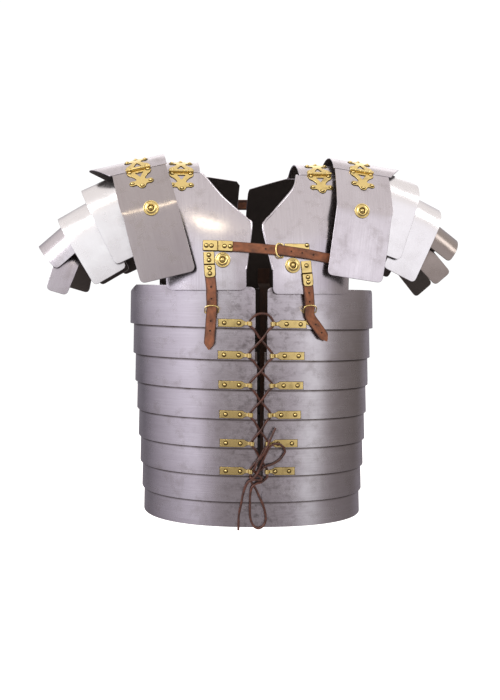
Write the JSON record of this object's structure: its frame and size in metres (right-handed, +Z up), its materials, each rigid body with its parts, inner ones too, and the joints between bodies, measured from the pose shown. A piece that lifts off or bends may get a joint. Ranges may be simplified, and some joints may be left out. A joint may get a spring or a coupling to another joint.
{
  "type": "lorica segmentata",
  "caption": "Segmented plate cuirass: laced girth hoops under hinged collar plates and overlapping shoulder guards, worn form, hollow and open at neck, arms and hem.",
  "frame": {"origin": "where the armour bears on the wearer's shoulders, on the middle plane between them", "axes": "+X to the wearer's left, +Y to the wearer's back, +Z up"},
  "size_m": [0.7039, 0.3094, 0.599],
  "materials": {
    "steel": "satin, brushed",
    "brass": "polished",
    "strap_leather": "worn satin",
    "lace_leather": "waxed"
  },
  "bodies": {
    "root": {"back_strap": "strap_leather", "backplate_left": "steel", "backplate_right": "steel", "boss_chest_left": "brass", "boss_chest_right": "brass", "boss_guard_left": "brass", "boss_guard_right": "brass", "breastplate_left": "steel", "breastplate_right": "steel", "chest_buckle": "brass", "chest_strap": "strap_leather", "collar_hinge_left": "brass", "collar_hinge_right": "brass", "collar_top_left": "steel", "collar_top_right": "steel", "girth_hoop_left_1": "steel", "girth_hoop_left_2": "steel", "girth_hoop_left_3": "steel", "girth_hoop_left_4": "steel", "girth_hoop_left_5": "steel", "girth_hoop_left_6": "steel", "girth_hoop_left_7": "steel", "girth_hoop_left_8": "steel", "girth_hoop_right_1": "steel", "girth_hoop_right_2": "steel", "girth_hoop_right_3": "steel", "girth_hoop_right_4": "steel", "girth_hoop_right_5": "steel", "girth_hoop_right_6": "steel", "girth_hoop_right_7": "steel", "girth_hoop_right_8": "steel", "girth_leather_back_left": "strap_leather", "girth_leather_back_right": "strap_leather", "girth_leather_front_left": "strap_leather", "girth_leather_front_right": "strap_leather", "guard_hinge_left": "brass", "guard_hinge_right": "brass", "hanging_buckle_left": "brass", "hanging_buckle_right": "brass", "hanging_strap_left": "strap_leather", "hanging_strap_right": "strap_leather", "lace_back": "lace_leather", "lace_front": "lace_leather", "lesser_guard_left_1": "steel", "lesser_guard_left_2": "steel", "lesser_guard_left_3": "steel", "lesser_guard_left_4": "steel", "lesser_guard_right_1": "steel", "lesser_guard_right_2": "steel", "lesser_guard_right_3": "steel", "lesser_guard_right_4": "steel", "shoulder_leather_left": "strap_leather", "shoulder_leather_right": "strap_leather", "upper_guard_back_left": "steel", "upper_guard_back_right": "steel", "upper_guard_front_left": "steel", "upper_guard_front_right": "steel", "upper_guard_top_left": "steel", "upper_guard_top_right": "steel"}
  },
  "joints": []
}
